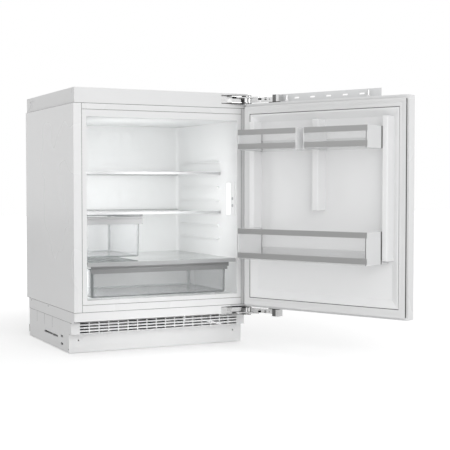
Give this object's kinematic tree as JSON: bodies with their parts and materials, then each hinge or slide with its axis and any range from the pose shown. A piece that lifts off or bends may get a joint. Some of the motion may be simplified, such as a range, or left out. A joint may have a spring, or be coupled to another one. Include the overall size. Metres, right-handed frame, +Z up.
{
  "type": "undercounter refrigerator",
  "caption": "Built-under larder refrigerator with an open hinged door, sliding glass shelves, drawers, lift-out door racks, inside light and controls, vented base and levelling feet.",
  "frame": {"origin": "on the floor, under the middle of the closed cabinet body", "axes": "+X to the right seen from the front, +Y from the front into the cabinet, +Z up"},
  "size_m": [0.8613, 1.0901, 0.82],
  "materials": {
    "white_steel": "semi-gloss",
    "white_moulding": "satin",
    "liner": "satin",
    "foam": "matte",
    "galvanised_steel": "satin",
    "aluminium": "brushed",
    "glass": "polished",
    "trim": "satin",
    "smoke_drawer": "polished",
    "rack_plastic": "polished",
    "gasket": "matte",
    "hinge_steel": "polished",
    "black_steel": "semi-gloss",
    "black_rubber": "matte",
    "dark_plastic": "matte",
    "copper": "satin",
    "lens": "frosted",
    "button": "satin"
  },
  "bodies": {
    "cabinet": {"side_panel_left": "white_steel", "side_panel_right": "white_steel", "top_panel": "white_steel", "bottom_panel": "white_steel", "top_fascia": "white_moulding", "top_frame": "white_moulding", "lower_fascia": "white_moulding", "base_side_left": "white_moulding", "base_side_right": "white_moulding", "vent_grille": "white_moulding", "plinth_panel": "white_moulding", "light_housing": "white_moulding", "inner_liner": "liner", "insulation_foam": "foam", "back_panel": "galvanised_steel", "base_plate": "galvanised_steel", "evaporator": "aluminium", "condenser": "aluminium", "cover_glass": "glass", "cover_trim": "trim", "hinge_brackets": "hinge_steel", "hinge_pins": "hinge_steel", "compressor": "black_steel", "compressor_grommets": "black_rubber", "evaporation_tray": "dark_plastic", "fan_frame": "dark_plastic", "mains_inlet": "dark_plastic", "refrigerant_pipes": "copper", "light_lens": "lens"},
    "door": {"door_shell": "white_steel", "door_liner": "liner", "door_foam": "foam", "door_gasket": "gasket", "crossbar": "galvanised_steel", "crossbar_bolts": "hinge_steel", "hinge_leaves": "hinge_steel", "leaf_screws": "hinge_steel"},
    "hinge_links": {"hinge_links": "hinge_steel"},
    "upper_shelf": {"upper_shelf_glass": "glass", "upper_shelf_trims": "trim"},
    "middle_shelf": {"middle_shelf_glass": "glass", "middle_shelf_trims": "trim", "small_drawer_runners": "trim"},
    "small_drawer": {"small_drawer_tub": "smoke_drawer", "small_drawer_strip": "aluminium"},
    "bottom_drawer": {"bottom_drawer_tub": "smoke_drawer", "bottom_drawer_strip": "aluminium"},
    "lower_rack": {"lower_rack_tray": "rack_plastic", "lower_rack_strips": "aluminium"},
    "hinge_side_rack": {"hinge_side_rack_tray": "rack_plastic", "hinge_side_rack_strips": "aluminium"},
    "free_side_rack": {"free_side_rack_tray": "rack_plastic", "free_side_rack_strips": "aluminium"},
    "temperature_button": {"temperature_button": "button"},
    "power_button": {"power_button": "button"},
    "fan_rotor": {"fan_rotor": "dark_plastic"},
    "foot_front_left": {"foot_front_left": "dark_plastic"},
    "foot_front_right": {"foot_front_right": "dark_plastic"},
    "foot_back_left": {"foot_back_left": "dark_plastic"},
    "foot_back_right": {"foot_back_right": "dark_plastic"}
  },
  "joints": [
    {"name": "door_hinge", "type": "hinge", "parent": "cabinet", "child": "door", "pos_m": [0.291, -0.286, 0.456], "axis": [0, 0, 1], "range_deg": [-115, 0]},
    {"name": "link_turn", "type": "hinge", "parent": "door", "child": "hinge_links", "pos_m": [0.30621, -0.31863, 0.456], "axis": [0, 0, 1], "range_deg": [0, 57.5]},
    {"name": "upper_shelf_slide", "type": "slide", "parent": "cabinet", "child": "upper_shelf", "axis": [0, -1, 0], "range_m": [0, 0.12]},
    {"name": "middle_shelf_slide", "type": "slide", "parent": "cabinet", "child": "middle_shelf", "axis": [0, -1, 0], "range_m": [0, 0.12]},
    {"name": "small_drawer_slide", "type": "slide", "parent": "middle_shelf", "child": "small_drawer", "axis": [0, -1, 0], "range_m": [0, 0.2]},
    {"name": "bottom_drawer_slide", "type": "slide", "parent": "cabinet", "child": "bottom_drawer", "axis": [0, -1, 0], "range_m": [0, 0.22]},
    {"name": "lower_rack_lift", "type": "slide", "parent": "door", "child": "lower_rack", "axis": [0, 0, 1], "range_m": [0, 0.03]},
    {"name": "hinge_side_rack_lift", "type": "slide", "parent": "door", "child": "hinge_side_rack", "axis": [0, 0, 1], "range_m": [0, 0.03]},
    {"name": "free_side_rack_lift", "type": "slide", "parent": "door", "child": "free_side_rack", "axis": [0, 0, 1], "range_m": [0, 0.03]},
    {"name": "temperature_button_press", "type": "slide", "parent": "cabinet", "child": "temperature_button", "axis": [1, 0, 0], "range_m": [0, 0.001], "stiffness_N_per_m": 600, "springref_m": -0.001},
    {"name": "power_button_press", "type": "slide", "parent": "cabinet", "child": "power_button", "axis": [1, 0, 0], "range_m": [0, 0.001], "stiffness_N_per_m": 600, "springref_m": -0.001},
    {"name": "fan_spin", "type": "hinge", "parent": "cabinet", "child": "fan_rotor", "pos_m": [-0.066, -0.07, 0.07], "axis": [1, 0, 0], "continuous": true},
    {"name": "foot_front_left_screw", "type": "slide", "parent": "cabinet", "child": "foot_front_left", "axis": [0, 0, -1], "range_m": [0, 0.05]},
    {"name": "foot_front_right_screw", "type": "slide", "parent": "cabinet", "child": "foot_front_right", "axis": [0, 0, -1], "range_m": [0, 0.05]},
    {"name": "foot_back_left_screw", "type": "slide", "parent": "cabinet", "child": "foot_back_left", "axis": [0, 0, -1], "range_m": [0, 0.05]},
    {"name": "foot_back_right_screw", "type": "slide", "parent": "cabinet", "child": "foot_back_right", "axis": [0, 0, -1], "range_m": [0, 0.05]}
  ],
  "couplings": [
    {"joint": "link_turn", "follows": "door_hinge", "ratio": -0.5}
  ]
}
